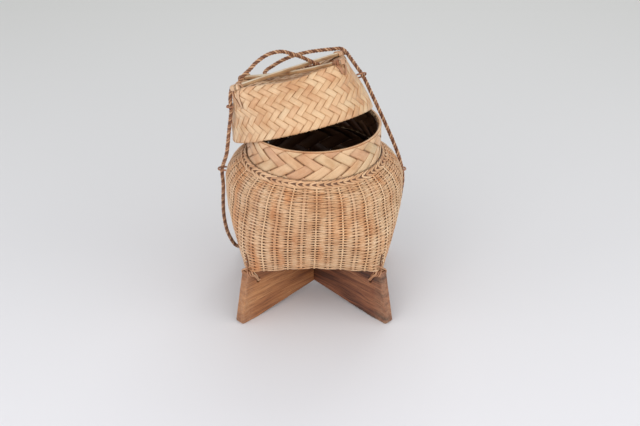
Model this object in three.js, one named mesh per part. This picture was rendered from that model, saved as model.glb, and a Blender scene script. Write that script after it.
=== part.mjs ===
// A sticky-rice basket of woven bamboo on a crossed wooden base, with a loose lid hung on a fibre cord.
// Millimetres, +Z up. The origin is on the ground under the middle of the basket; +Y points to its back.
import * as THREE from 'three';
import { mergeVertices } from 'three/addons/utils/BufferGeometryUtils.js';

// Base: two planks halved into each other along the diagonals
const plankThickness = 11;
const plankHeight = 64.5;
const shoulderOverhang = 4.64;
const toeSplay = 12.6;
const toePad = 20;
const archRise = 9;
const toeRadius = 5;
const edgeRound = 0.8;
const lashHole = { fromShoulder: 16, height: 49, diameter: 6 };
const cordHole = { fromShoulder: 24, height: 38, diameter: 6.4 };

// Clearances
const seatGap = 0.3;
const layerGap = 0.9;
const lidLayerGap = 0.5;
const jointGap = 0.3;

// Collar, which is the top of the inner basket and stands out of the outer one
const liningWall = 2.6;
const collarRadius = 77.2;
const collarTaper = 0.7;
const collarHeight = 37.8;
const lipRise = 0.8;

// Outer basket: height, half width and corner share of each station of its outside, bottom to top.
// A corner share of 1 makes the section a circle, and 0 a sharp square.
const shoulderTop = 176;
const shoulderLedge = 8;
const outerStations = [
  [plankHeight + seatGap, 79.4, 0.15], [75, 83.7, 0.34], [90, 87.7, 0.41], [110, 94.6, 0.62],
  [130, 100.9, 0.86], [150, 102.8, 1], [165, 97.2, 1], [shoulderTop, collarRadius + shoulderLedge, 1],
];
const outerWall = 2.4;
const bottomArch = 4.2;
const bottomArchFade = 26;

// Stakes of the outer basket, each with a furrow on both sides where the wefts dive under it
const stakeCount = 44;
const stakeWidth = 3;
const furrowWidth = 2.6;
const stakeProud = 0.9;
const stakeSpread = 0.004;
const stakeSpreadTop = 150;

// Folded border round the foot of the collar
const borderLobes = 48;
const borderHeight = 10.8;
const borderThickness = 3.2;
const borderStand = 5.6;
const borderLedge = 2.4;
const lobeProud = 0.7;

// Lid: height above its rim, half width and corner share of each station of its outside
const lidLooseness = 6.6;
const lidStations = [
  [0, collarRadius - collarTaper + lidLooseness, 1], [15.2, 80.4, 1], [30.4, 75.6, 0.84],
  [45.6, 68.2, 0.42], [55, 65.2, 0.2], [60.8, 61.8, 0.12],
];
const lidWall = 1.6;
const lidLiningWall = 1.2;
const lidHornDrop = 5.3;
const lidHornFrom = 36;
const lidTopDip = 8.4;

// Where the lid lies, tipped back to the left, in the rest pose
const lidShift = { left: 13.2, back: 16.7, belowMouth: 7.5 };
const tipAxisTurn = 38.27;
const lidTip = 22.65;
const lidTwist = 1.18;

// Crossed slats on the lid
const slatWidth = 9;
const slatThickness = 3;
const slatOverhang = 4.18;
const slatRise = 2.1;
const lowerSlatSag = 3.3;
const upperSlatArch = 0.3;

// Lashings of split bamboo
const lashingWidth = 5.6;
const lashingThickness = 1.3;
const splintRadius = 1.1;
const cordLoopRadius = 4.4;

// Carrying cord
const cordDiameter = 4.7;
const cordSides = 8;
const cordGap = 0.3;
const knotRadius = 5.4;

// Sizes that follow from those above
const bottomZ = outerStations[0][0];
const cornerReach = ([, half, corner]) => half * (Math.SQRT2 * (1 - corner) + corner);
const shoulderReach = cornerReach(outerStations[0]) + shoulderOverhang;
const toeReach = shoulderReach + toeSplay;
const lashHoleReach = shoulderReach - lashHole.fromShoulder;
const cordHoleReach = shoulderReach - cordHole.fromShoulder;
const collarFoot = { radius: collarRadius, height: shoulderTop + borderLedge };
const collarMouth = { radius: collarRadius - collarTaper, height: collarFoot.height + collarHeight };
const lidTopZ = lidStations.at(-1)[0];
const lidRimZ = collarMouth.height - lidShift.belowMouth;
const lidRimCentre = new THREE.Vector3(-lidShift.left, lidShift.back, lidRimZ);
const slatReach = cornerReach(lidStations.at(-1)) + slatOverhang;
const slatEndHeight = lidTopZ + slatRise;

const bambooPale = new THREE.MeshStandardMaterial({ color: 0xd9ad7c, roughness: 0.62 });
const bambooTwill = new THREE.MeshStandardMaterial({ color: 0xe2bd8c, roughness: 0.55 });
const bambooSlat = new THREE.MeshStandardMaterial({ color: 0xb59468, roughness: 0.6 });
const splintBrown = new THREE.MeshStandardMaterial({ color: 0xa9714a, roughness: 0.65 });
const plankWood = new THREE.MeshStandardMaterial({ color: 0x8a5a3b, roughness: 0.55 });
const cordFibre = new THREE.MeshStandardMaterial({ color: 0x9c6b4c, roughness: 0.85 });

const basket = new THREE.Group();
const lid = new THREE.Group();

function add(group, name, geometry, material) {
  const mesh = new THREE.Mesh(geometry, material);
  mesh.name = name;
  group.add(mesh);
  return mesh;
}

// A closed solid skinned over rings of equal length, each four corners split along the shorter way.
// Each end ring is closed by a fan to its middle point.
function skin(rings, startPoint, endPoint) {
  const count = rings[0].length;
  const points = [...rings.flat(), startPoint, endPoint];
  const faces = [];
  for (let k = 0; k < rings.length - 1; k++) {
    for (let i = 0; i < count; i++) {
      const a = k * count + i;
      const b = k * count + ((i + 1) % count);
      const [c, d] = [b + count, a + count];
      if (points[a].distanceTo(points[c]) < points[b].distanceTo(points[d])) {
        faces.push(a, b, c, a, c, d);
      } else {
        faces.push(a, b, d, b, c, d);
      }
    }
  }
  const start = points.length - 2;
  const end = points.length - 1;
  const last = (rings.length - 1) * count;
  for (let i = 0; i < count; i++) {
    const next = (i + 1) % count;
    faces.push(start, next, i);
    faces.push(end, last + i, last + next);
  }
  return solid(points, faces);
}

// A closed ring skinned over sections that follow one another round a loop.
function loopSkin(sections) {
  const sides = sections[0].length;
  const faces = [];
  for (let k = 0; k < sections.length; k++) {
    const next = (k + 1) % sections.length;
    for (let i = 0; i < sides; i++) {
      const j = (i + 1) % sides;
      faces.push(k * sides + i, next * sides + i, next * sides + j);
      faces.push(k * sides + i, next * sides + j, k * sides + j);
    }
  }
  return solid(sections.flat(), faces);
}

function solid(points, faces) {
  const geometry = new THREE.BufferGeometry();
  const coordinates = points.flatMap((p) => [p.x, p.y, p.z]);
  geometry.setAttribute('position', new THREE.Float32BufferAttribute(coordinates, 3));
  geometry.setIndex(faces);
  return geometry;
}

function merged(geometry) {
  geometry.deleteAttribute('normal');
  geometry.deleteAttribute('uv');
  return mergeVertices(geometry, 1e-4);
}

// The point at a share of the way round a rounded square of this half width, from the middle of its +X side
function squarePoint(half, radius, share) {
  const flat = half - radius;
  const arc = (Math.PI / 2) * radius;
  const quarter = 2 * flat + arc;
  const turns = Math.floor(share * 4);
  const along = (share * 4 - turns) * quarter;
  const spot = new THREE.Vector2(half, along);
  if (along > flat + arc) {
    spot.set(flat - (along - flat - arc), half);
  } else if (along > flat) {
    const angle = (along - flat) / radius;
    spot.set(flat + radius * Math.cos(angle), flat + radius * Math.sin(angle));
  }
  return spot.rotateAround(new THREE.Vector2(), (turns * Math.PI) / 2);
}

// Sections between the stations: height, half width and corner radius at even steps of a smooth curve.
function sectionsAlong(stations, steps) {
  const points = stations.map(([z, half, corner]) => new THREE.Vector3(half, corner * 100, z));
  const spaced = new THREE.CatmullRomCurve3(points).getSpacedPoints(steps);
  return spaced.map((p) => ({ z: p.z, half: p.x, radius: Math.min(p.y / 100, 1) * p.x }));
}

// The same sections moved inwards, square to the outline that they draw.
function inset(sections, depth) {
  return sections.map((s, k) => {
    const before = sections[Math.max(k - 1, 0)];
    const after = sections[Math.min(k + 1, sections.length - 1)];
    const rise = after.z - before.z;
    const spread = after.half - before.half;
    const length = Math.hypot(rise, spread);
    const inward = (depth * rise) / length;
    const radius = Math.max(s.radius - inward, 1);
    return { z: s.z + (depth * spread) / length, half: s.half - inward, radius };
  });
}

// How near a share of the way round is to the middle of a side: 1 there, and 0 at a corner.
const sideness = (share) => Math.cos(share * 4 * Math.PI) ** 2;

function ringOf(section, shares, heightAt, scale = 1) {
  return shares.map((share) => {
    const spot = squarePoint(section.half, section.radius, share).multiplyScalar(scale);
    return new THREE.Vector3(spot.x, spot.y, heightAt(share, section));
  });
}

const evenShares = (count) => Array.from({ length: count }, (_, i) => i / count);

// Two planks on the diagonals, standing on four toes, each with half of the crossing cut away
function plank(cutFromTop) {
  const outline = new THREE.Shape();
  const half = plankThickness / 2 + jointGap;
  const middle = (plankHeight + archRise) / 2;
  const cutDepth = cutFromTop ? middle - jointGap : middle + jointGap;
  const padStart = toeReach - toeRadius - toePad;
  outline.moveTo(-toeReach + toeRadius, 0);
  outline.lineTo(-padStart, 0);
  if (cutFromTop) {
    outline.lineTo(0, archRise);
  } else {
    outline.lineTo(-half, archRise);
    outline.lineTo(-half, cutDepth);
    outline.lineTo(half, cutDepth);
    outline.lineTo(half, archRise);
  }
  outline.lineTo(padStart, 0);
  outline.lineTo(toeReach - toeRadius, 0);
  outline.quadraticCurveTo(toeReach, 0, toeReach - 1, toeRadius);
  outline.lineTo(shoulderReach, plankHeight);
  if (cutFromTop) {
    outline.lineTo(half, plankHeight);
    outline.lineTo(half, cutDepth);
    outline.lineTo(-half, cutDepth);
    outline.lineTo(-half, plankHeight);
  }
  outline.lineTo(-shoulderReach, plankHeight);
  outline.lineTo(-toeReach + 1, toeRadius);
  outline.quadraticCurveTo(-toeReach, 0, -toeReach + toeRadius, 0);
  const bores = [[-lashHoleReach, lashHole], [lashHoleReach, lashHole], [cordHoleReach, cordHole]];
  for (const [reach, { height, diameter }] of bores) {
    outline.holes.push(new THREE.Path().absarc(reach, height, diameter / 2, 0, 2 * Math.PI));
  }
  const geometry = new THREE.ExtrudeGeometry(outline, {
    depth: plankThickness - 2 * edgeRound, bevelThickness: edgeRound, bevelSize: edgeRound,
    bevelOffset: -edgeRound, bevelSegments: 1, curveSegments: 8,
  });
  geometry.translate(0, 0, edgeRound - plankThickness / 2);
  return merged(geometry.rotateX(Math.PI / 2));
}

add(basket, 'base_plank_left', plank(false), plankWood).rotation.z = THREE.MathUtils.degToRad(45);
add(basket, 'base_plank_right', plank(true), plankWood).rotation.z = THREE.MathUtils.degToRad(135);

// Outer basket: square at the bottom, round at the shoulder, its stakes standing proud of the wall
const archFrom = bottomZ + outerWall + layerGap + liningWall;
const outerOutside = sectionsAlong(outerStations, 10);
const outerInside = inset(outerOutside, outerWall);

function archLift(share, z) {
  const fade = THREE.MathUtils.clamp(1 - (z - archFrom) / bottomArchFade, 0, 1);
  return z + bottomArch * sideness(share) * fade ** 2;
}

function bottomRings(section, shares, floorZ, scales) {
  return scales.map((scale) => ringOf(section, shares, (share) => (
    floorZ + bottomArch * sideness(share) * scale ** 2), scale));
}

const stakePlaces = Array.from({ length: stakeCount }, (_, k) => {
  const stake = k / stakeCount;
  const girth = 2 * Math.PI * outerStations[3][1];
  const foot = (stakeWidth + furrowWidth) / 2 / girth;
  return [
    { share: stake - foot, proud: 0 }, { share: stake, proud: 1 }, { share: stake + foot, proud: 0 },
    { share: stake + 0.5 / stakeCount, proud: 0.5 },
  ];
}).flat();

function stakeShare(share, z) {
  const low = THREE.MathUtils.clamp((stakeSpreadTop - z) / (stakeSpreadTop - bottomZ), 0, 1);
  return share + stakeSpread * Math.sin(8 * Math.PI * share) * low;
}

function stakedRing(section) {
  return stakePlaces.map(({ share, proud }) => {
    const rise = proud * stakeProud;
    const place = stakeShare(share, section.z);
    const spot = squarePoint(section.half + rise, section.radius + rise, place);
    return new THREE.Vector3(spot.x, spot.y, archLift(place, section.z));
  });
}

function outerBasket() {
  const sharesAt = (z) => stakePlaces.map(({ share }) => stakeShare(share, z));
  const footShares = sharesAt(bottomZ);
  const wallInside = outerInside.slice(1).reverse();
  const floorInside = bottomZ + outerWall;
  return skin([
    ...bottomRings(outerOutside[0], footShares, bottomZ, [0.5, 0.85]),
    ...outerOutside.map(stakedRing),
    ...wallInside.map((s) => ringOf(s, sharesAt(s.z), (share) => archLift(share, s.z))),
    ...bottomRings(outerInside[0], footShares, floorInside, [1, 0.5]),
  ], new THREE.Vector3(0, 0, bottomZ), new THREE.Vector3(0, 0, floorInside));
}

add(basket, 'outer_basket', outerBasket(), bambooPale);

// Inner basket: lies against the inside of the outer one and ends in the collar
function innerBasket() {
  const shares = evenShares(48);
  const collar = [collarFoot, collarMouth].map(({ radius, height }) => ({ z: height, half: radius, radius }));
  const outside = [...inset(outerOutside, outerWall + layerGap), ...collar];
  const kept = (s, k) => k % 2 === 0 || s.z > collarFoot.height - liningWall;
  const inside = inset(outside, liningWall).filter(kept).reverse();
  inside[0].z = collarMouth.height;
  const lip = inset(outside, liningWall / 2).at(-1);
  const floorZ = bottomZ + outerWall + layerGap;
  outside[0].z = floorZ;
  inside.at(-1).z = floorZ + liningWall;
  const lifted = (s) => ringOf(s, shares, (share) => archLift(share, s.z));
  return skin([
    ...bottomRings(outside[0], shares, floorZ, [0.5, 0.85]),
    ...outside.map(lifted),
    ringOf(lip, shares, () => collarMouth.height + lipRise),
    ...inside.map(lifted),
    ...bottomRings(inside.at(-1), shares, floorZ + liningWall, [0.85, 0.5]),
  ], new THREE.Vector3(0, 0, floorZ), new THREE.Vector3(0, 0, floorZ + liningWall));
}

add(basket, 'inner_basket', innerBasket(), bambooTwill);

// Border: the outer basket's splints folded over one another in a slanting row, leaning on the collar
function foldedBorder() {
  const sides = 6;
  const lobeSteps = 3;
  const count = borderLobes * lobeSteps;
  const footZ = outerOutside.at(-1).z + seatGap;
  const lean = (borderStand - layerGap - borderThickness) / borderHeight;
  const sections = Array.from({ length: count }, (_, k) => {
    const turn = (k / count) * 2 * Math.PI;
    return Array.from({ length: sides }, (_, i) => {
      const angle = (i / sides) * 2 * Math.PI;
      const up = borderHeight / 2 * (1 + Math.sin(angle));
      const lobe = lobeProud * Math.cos(borderLobes * turn + 2 * angle) * Math.max(0, Math.cos(angle));
      const out = (borderThickness / 2) * (Math.cos(angle) - 1) + lobe;
      const radius = collarFoot.radius + borderStand - lean * up + out;
      return new THREE.Vector3(radius * Math.cos(turn), radius * Math.sin(turn), footZ + up);
    });
  });
  return loopSkin(sections);
}

add(basket, 'folded_border', foldedBorder(), bambooPale);

// Lid: round at the rim and square at the top, whose corners stand up where the slats are tied
const lidOutside = sectionsAlong(lidStations, 8);

function hornDrop(share, z) {
  const weight = Math.max(0, (z - lidHornFrom) / (lidTopZ - lidHornFrom));
  return z - lidHornDrop * sideness(share) * weight ** 2;
}

function lidShell(outside, wall, shares) {
  const inside = inset(outside, wall).reverse();
  const topZ = outside.at(-1).z;
  const dippedAt = (z, scale) => (share) => {
    const middle = z - lidTopDip;
    return middle + (hornDrop(share, z) - middle) * scale ** 2;
  };
  const roof = (section, z, scales) => scales.map((scale) => (
    ringOf(section, shares, dippedAt(z, scale), scale)));
  const walls = (list) => list.map((s) => ringOf(s, shares, (share) => hornDrop(share, s.z)));
  inside.at(-1).z = 0;
  const ceiling = inside[0];
  ceiling.z = topZ - wall;
  return skin([
    ...roof(ceiling, topZ - wall, [0.45, 0.8]),
    ...walls(inside),
    ...walls(outside),
    ...roof(outside.at(-1), topZ, [0.8, 0.45]),
  ], new THREE.Vector3(0, 0, topZ - wall - lidTopDip), new THREE.Vector3(0, 0, topZ - lidTopDip));
}

function lidLiningOutside() {
  const outside = inset(lidOutside, lidWall + lidLayerGap);
  outside[0].z = 0;
  outside.at(-1).z = lidTopZ - lidWall - lidLayerGap;
  return outside;
}

add(lid, 'lid_shell', lidShell(lidOutside, lidWall, evenShares(56)), bambooTwill);
add(lid, 'lid_lining', lidShell(lidLiningOutside(), lidLiningWall, evenShares(56)), bambooTwill);

// A flat strip bent along a path: it is as wide as given, and faces the way of the normal at each point.
function strap(points, normals, width, thickness) {
  const rings = points.map((p, k) => {
    const before = points[Math.max(k - 1, 0)];
    const after = points[Math.min(k + 1, points.length - 1)];
    const tangent = after.clone().sub(before).normalize();
    const side = tangent.clone().cross(normals[k]).normalize();
    const face = side.clone().cross(tangent);
    return [[-1, -1], [-1, 1], [1, 1], [1, -1]].map(([s, f]) => p.clone()
      .addScaledVector(side, (s * width) / 2).addScaledVector(face, (f * thickness) / 2));
  });
  return skin(rings, points[0].clone(), points.at(-1).clone());
}

// A round bar along a smooth curve through the points
function bar(points, radius, sides, steps) {
  const round = new THREE.Shape(Array.from({ length: sides }, (_, k) => (
    new THREE.Vector2(radius, 0).rotateAround(new THREE.Vector2(), (k / sides) * 2 * Math.PI))));
  const path = new THREE.CatmullRomCurve3(points, false, 'centripetal');
  return merged(new THREE.ExtrudeGeometry(round, { steps, extrudePath: path }));
}

const up = new THREE.Vector3(0, 0, 1);
const diagonal = (turn) => new THREE.Vector3(Math.cos(turn), Math.sin(turn), 0);
const cornerTurns = {
  back_right: Math.PI / 4,
  back_left: (3 * Math.PI) / 4,
  front_left: (5 * Math.PI) / 4,
  front_right: (7 * Math.PI) / 4,
};

// A point by its reach out along a corner's diagonal, its place across that diagonal and its height
function cornerPlace(turn, reach, across, height) {
  const sideways = diagonal(turn + Math.PI / 2);
  return diagonal(turn).multiplyScalar(reach).addScaledVector(sideways, across).setZ(height);
}

function sectionAt(sections, height) {
  const next = Math.max(1, sections.findIndex((s) => s.z >= height));
  const [low, high] = [sections[next - 1], sections[next]];
  const share = (height - low.z) / (high.z - low.z);
  const mix = (a, b) => a + (b - a) * share;
  return { half: mix(low.half, high.half), radius: mix(low.radius, high.radius) };
}

// Crossed slats, tied down at the four corners of the lid and sprung across its sunk top
function slat(turn, bow) {
  const steps = 12;
  const points = Array.from({ length: steps + 1 }, (_, k) => {
    const place = (2 * k) / steps - 1;
    const height = slatEndHeight + bow * (1 - place ** 2);
    return diagonal(turn).multiplyScalar(place * slatReach).setZ(height);
  });
  return strap(points, points.map(() => up), slatWidth, slatThickness);
}

add(lid, 'lid_slat_lower', slat(cornerTurns.front_right, -lowerSlatSag), bambooSlat);
add(lid, 'lid_slat_upper', slat(cornerTurns.back_right, upperSlatArch), bambooSlat);

// A splint over the end of a slat, whose two tails lie down the corner of the lid
function slatLashing(turn) {
  const lift = lashingThickness / 2 + 4 * seatGap;
  const onCorner = (across, height) => {
    const { half, radius } = sectionAt(lidOutside, height);
    const round = Math.abs(across) < radius / Math.SQRT2;
    const out = round ? Math.sqrt(radius ** 2 - across ** 2) / radius : Math.SQRT1_2;
    const sideways = round ? across / radius : Math.sign(across) * Math.SQRT1_2;
    const cornerPart = round ? out * radius : Math.SQRT2 * radius - Math.abs(across);
    const reach = Math.SQRT2 * (half - radius) + cornerPart;
    return {
      point: cornerPlace(turn, reach + lift * out, across + lift * sideways, height),
      normal: cornerPlace(turn, out, sideways, 0),
    };
  };
  const over = (reach, across, height, lean) => ({
    point: cornerPlace(turn, reach, across, height), normal: cornerPlace(turn, 0.2, lean, 1).normalize(),
  });
  const beside = slatWidth / 2 + seatGap + lashingThickness / 2;
  const above = slatEndHeight + slatThickness / 2 + seatGap + lashingThickness / 2;
  const half = (sign) => [
    ...[26.8, 19.8, 12.8, 6.8].map((drop) => onCorner(sign * (beside - 1.9 + 6 / drop), lidTopZ - drop)),
    onCorner(sign * (beside + 1.2), lidTopZ - 2),
    over(slatReach - 5.6, sign * (beside + 1.6), slatEndHeight, sign * 1.2),
    over(slatReach - 7.5, sign * (beside + 1.3), above - 0.8, sign * 0.8),
    over(slatReach - 8.5, sign * (beside - 0.4), above + 0.4, sign * 0.2),
  ];
  const path = [...half(-1), ...half(1).reverse()];
  return strap(path.map((s) => s.point), path.map((s) => s.normal), lashingWidth, lashingThickness);
}

for (const [corner, turn] of Object.entries(cornerTurns)) {
  add(lid, `lid_lashing_${corner}`, slatLashing(turn), splintBrown);
}

// A splint from the corner of the basket down over the plank's end and through the hole in the plank
function plankLashing(turn) {
  const beside = plankThickness / 2 + 2 * seatGap + splintRadius;
  const upCorner = [23.2, 13.2, 5.2].map((rise) => {
    const { half, radius } = sectionAt(outerOutside, bottomZ + rise);
    const reach = Math.SQRT2 * (half - radius) + radius + stakeProud + splintRadius + 2 * seatGap;
    return cornerPlace(turn, reach, 0, bottomZ + rise);
  });
  const end = shoulderReach - 1.2;
  const { height } = lashHole;
  const face = (sign) => [
    cornerPlace(turn, end - 1, sign * (beside + 0.4), plankHeight - 2),
    cornerPlace(turn, (end + lashHoleReach) / 2, sign * (beside + 0.3), (plankHeight + height) / 2),
    cornerPlace(turn, lashHoleReach + 2.4, sign * (beside + 0.4), height + 2),
    cornerPlace(turn, lashHoleReach + 0.5, sign * beside, height + 0.4),
    cornerPlace(turn, lashHoleReach, sign * (beside - 3), height),
  ];
  return bar([
    ...upCorner, cornerPlace(turn, end, 1, plankHeight + 2.6), cornerPlace(turn, end, 5, plankHeight + 1.8),
    ...face(1), ...face(-1).reverse(),
    cornerPlace(turn, end, -5, plankHeight + 1.8), cornerPlace(turn, end, -2.6, plankHeight + 2.2),
  ], splintRadius, 5, 36);
}

for (const [corner, turn] of Object.entries(cornerTurns)) {
  add(basket, `plank_lashing_${corner}`, plankLashing(turn), splintBrown);
}

// The lid lies tipped back to the left: turned about a level line through its rim, then moved to its place.
const tipAxis = diagonal(THREE.MathUtils.degToRad(tipAxisTurn));
lid.quaternion.setFromAxisAngle(tipAxis, THREE.MathUtils.degToRad(-lidTip));
lid.rotateZ(THREE.MathUtils.degToRad(lidTwist));
lid.position.copy(lidRimCentre);
lid.updateMatrix();
basket.add(lid);

const at = (x, y, z) => new THREE.Vector3(x, y, z);
const onLid = (x, y, height) => at(x, y, height).applyMatrix4(lid.matrix);
const atCordHole = (side, across) => {
  const turn = side < 0 ? cornerTurns.back_left : cornerTurns.back_right;
  return cornerPlace(turn, cordHoleReach, side * -across, cordHole.height);
};
const knotReach = plankThickness / 2 + seatGap + knotRadius;
const shoulderLoopPlaces = [at(-107.6, 3, 156), at(104.1, 28, 143)];
const lidLoopPlaces = [at(-93.3, -18, 245.6), at(56.8, 69.5, 246)];

// The cord from its left knot to its right one. Each stretch runs on from the last point of the one before.
const cordRoute = {
  left_tail: [
    atCordHole(-1, -plankThickness / 2 + cordGap), atCordHole(-1, 3), atCordHole(-1, 13),
    at(-88, 50, 24), at(-96.4, 42, 28), at(-104.9, 30, 50.7), at(-108, 26, 66), at(-109.5, 20, 87),
    at(-109, 14, 108), at(-107.6, 8, 131.6), shoulderLoopPlaces[0],
  ],
  left_lower: [at(-101.9, -2, 176), at(-99.6, -5, 190), at(-97.3, -5, 209.6)],
  left_upper: [
    at(-96, -10, 218.3), at(-94.6, -13, 228.5), at(-93.5, -16, 237.4), lidLoopPlaces[0],
    at(-93.8, -15, 251.1), onLid(-69, -40.6, 54), onLid(-66.6, -38.6, 59.6), onLid(-60.3, -38, 63.1),
  ],
  front_arch: [
    onLid(-56, -36.6, 65.6), onLid(-50.1, -35.3, 71.4), onLid(-42.6, -31.5, 75.6), onLid(-32.8, -28, 81.9),
    onLid(-18, -22.2, 87.1), onLid(-3.8, -15.6, 86.4), onLid(6.7, -8, 80.8), onLid(17.1, 1.4, 73.2),
    onLid(26, 10.5, 65.4), onLid(32, 18, 60.4), onLid(33.4, 24, 58.3),
  ],
  under_slat: [
    onLid(32, 31, 58), onLid(26, 36, 57.8), onLid(15, 38.5, 57.8), onLid(-9, 38, 57.9),
    onLid(-22.6, 37.4, 58.4), onLid(-29.9, 40.2, 60.1), onLid(-32.8, 47, 62.4), onLid(-29.9, 53.8, 64.9),
    onLid(-22.6, 56.6, 67.6),
  ],
  back_arch: [
    onLid(-11.4, 55, 71.2), onLid(0.5, 52, 73.6), onLid(10.4, 51.2, 74.3), onLid(24.7, 53.6, 73.9),
    onLid(38.6, 57.1, 72.2), onLid(52.3, 60.8, 70), onLid(62.7, 65, 67.4), onLid(67.4, 64.5, 61.5),
    onLid(69.4, 60, 57),
  ],
  right_upper: [at(44.8, 90, 256.3), at(50, 80, 252.2), lidLoopPlaces[1], at(67.8, 55, 227.4)],
  right_lower: [at(78, 45, 208), at(91.9, 36, 178.6), at(100.3, 30, 158), shoulderLoopPlaces[1]],
  right_tail: [
    at(105.8, 33, 126.7), at(105, 42, 106), at(103.5, 50, 86), at(99, 53.5, 68), at(93.5, 50.5, 55),
    at(84, 47.5, 43.5), atCordHole(1, 14), atCordHole(1, 3), atCordHole(1, -plankThickness / 2 + cordGap),
  ],
};
const cordSteps = {
  left_tail: 15, left_lower: 4, left_upper: 9, front_arch: 14, under_slat: 13, back_arch: 11,
  right_upper: 5, right_lower: 6, right_tail: 12,
};

const cordPath = new THREE.CatmullRomCurve3(Object.values(cordRoute).flat(), false, 'centripetal');
const cordSpans = cordPath.points.length - 1;

// Part of the cord's path between two of its points, drawn back a little at both ends
class CordStretch extends THREE.Curve {
  constructor(from, to) {
    super();
    const drawnBack = (place, step) => {
      const here = cordPath.getPoint(place / cordSpans);
      const beyond = cordPath.getPoint((place + step) / cordSpans);
      return place + (step * cordGap) / 2 / here.distanceTo(beyond);
    };
    this.from = drawnBack(from, 0.01);
    this.to = drawnBack(to, -0.01);
  }

  getPoint(share) {
    return cordPath.getPoint((this.from + (this.to - this.from) * share) / cordSpans);
  }
}

const cordSection = new THREE.Shape(Array.from({ length: cordSides }, (_, k) => (
  new THREE.Vector2(cordDiameter / 2, 0).rotateAround(new THREE.Vector2(), (k / cordSides) * 2 * Math.PI))));

let stretchStart = 0;
for (const [name, stops] of Object.entries(cordRoute)) {
  const stretchEnd = stretchStart + stops.length - (stretchStart === 0 ? 1 : 0);
  const extrudePath = new CordStretch(stretchStart, stretchEnd);
  const tube = new THREE.ExtrudeGeometry(cordSection, { steps: cordSteps[name], extrudePath });
  add(basket, `cord_${name}`, merged(tube), cordFibre);
  stretchStart = stretchEnd;
}

// Knots that keep the cord's ends from slipping back through the planks
for (const [name, side] of [['left', -1], ['right', 1]]) {
  const knot = merged(new THREE.IcosahedronGeometry(knotRadius, 2));
  add(basket, `cord_knot_${name}`, knot, cordFibre).position.copy(atCordHole(side, -knotReach));
}

// A splint bent round the cord, its two legs ending at the wall that it grows from
function cordLoop(centre, along, inward, reach) {
  const side = along.clone().cross(inward).normalize();
  const spot = (sideways, depth) => (
    centre.clone().addScaledVector(side, sideways).addScaledVector(inward, depth));
  const bend = [0, 30, 60, 90, 120, 150, 180].map((degrees) => {
    const angle = THREE.MathUtils.degToRad(degrees);
    return spot(cordLoopRadius * Math.cos(angle), -cordLoopRadius * Math.sin(angle));
  });
  const legs = [spot(cordLoopRadius, reach), spot(-cordLoopRadius, reach)];
  return bar([legs[0], ...bend, legs[1]], splintRadius, 5, 12);
}

function bodyLoop(centre) {
  const inward = at(-centre.x, -centre.y, 0).normalize();
  const wall = sectionAt(outerOutside, centre.z).half + stakeProud;
  return cordLoop(centre, up, inward, Math.hypot(centre.x, centre.y) - wall - 4 * seatGap);
}

add(basket, 'shoulder_cord_loop_left', bodyLoop(shoulderLoopPlaces[0]), splintBrown);
add(basket, 'shoulder_cord_loop_right', bodyLoop(shoulderLoopPlaces[1]), splintBrown);

// The same on the wall of the lid, in the lid's own frame
function lidLoop(place) {
  const toLid = lid.matrix.clone().invert();
  const centre = place.clone().applyMatrix4(toLid);
  const along = cordPath.getTangent(cordPath.points.indexOf(place) / cordSpans).transformDirection(toLid);
  const { half, radius } = sectionAt(lidOutside, centre.z);
  const middle = at(Math.sign(centre.x), Math.sign(centre.y), 0).multiplyScalar(half - radius);
  const inward = middle.sub(centre).setZ(0);
  const reach = inward.length() - radius - 4 * seatGap;
  return cordLoop(centre, along, inward.normalize(), reach);
}

add(lid, 'lid_cord_loop_left', lidLoop(lidLoopPlaces[0]), splintBrown);
add(lid, 'lid_cord_loop_right', lidLoop(lidLoopPlaces[1]), splintBrown);

export default basket;
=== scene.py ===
"""A sticky-rice basket of woven bamboo on crossed planks, its loose lid hung on a twisted cord."""
import math

import bpy
import numpy as np
from mathutils import Matrix, Vector

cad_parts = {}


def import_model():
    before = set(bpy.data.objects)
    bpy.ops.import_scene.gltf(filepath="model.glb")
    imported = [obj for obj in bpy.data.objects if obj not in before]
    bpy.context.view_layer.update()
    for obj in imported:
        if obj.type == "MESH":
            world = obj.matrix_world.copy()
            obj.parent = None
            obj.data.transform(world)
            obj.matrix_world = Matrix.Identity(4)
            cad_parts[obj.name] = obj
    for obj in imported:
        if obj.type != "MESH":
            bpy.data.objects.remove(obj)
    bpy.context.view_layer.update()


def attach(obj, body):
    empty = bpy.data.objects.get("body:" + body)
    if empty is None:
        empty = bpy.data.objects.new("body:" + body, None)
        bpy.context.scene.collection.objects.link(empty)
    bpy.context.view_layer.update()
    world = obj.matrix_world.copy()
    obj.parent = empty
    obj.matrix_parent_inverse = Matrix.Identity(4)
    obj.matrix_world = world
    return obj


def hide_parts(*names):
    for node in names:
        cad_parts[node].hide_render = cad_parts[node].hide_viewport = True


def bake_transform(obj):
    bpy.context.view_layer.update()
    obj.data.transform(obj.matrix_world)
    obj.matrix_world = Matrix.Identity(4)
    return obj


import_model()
MM = 0.001
rng = np.random.default_rng(11)


def linked(name, data):
    """A new object in the scene."""
    made = bpy.data.objects.new(name, data)
    bpy.context.scene.collection.objects.link(made)
    return made


# Camera
CAMERA_PLACE = (0.0067, -1.3487, 0.8516)
CAMERA_PITCH = 29.19
LENS = 73.125


def make_camera():
    data = bpy.data.cameras.new("camera")
    data.lens = LENS
    data.sensor_width = 36
    camera = linked("camera", data)
    camera.location = CAMERA_PLACE
    camera.rotation_euler = (math.radians(90 - CAMERA_PITCH), 0, 0)
    bpy.context.scene.camera = camera


make_camera()

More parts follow.
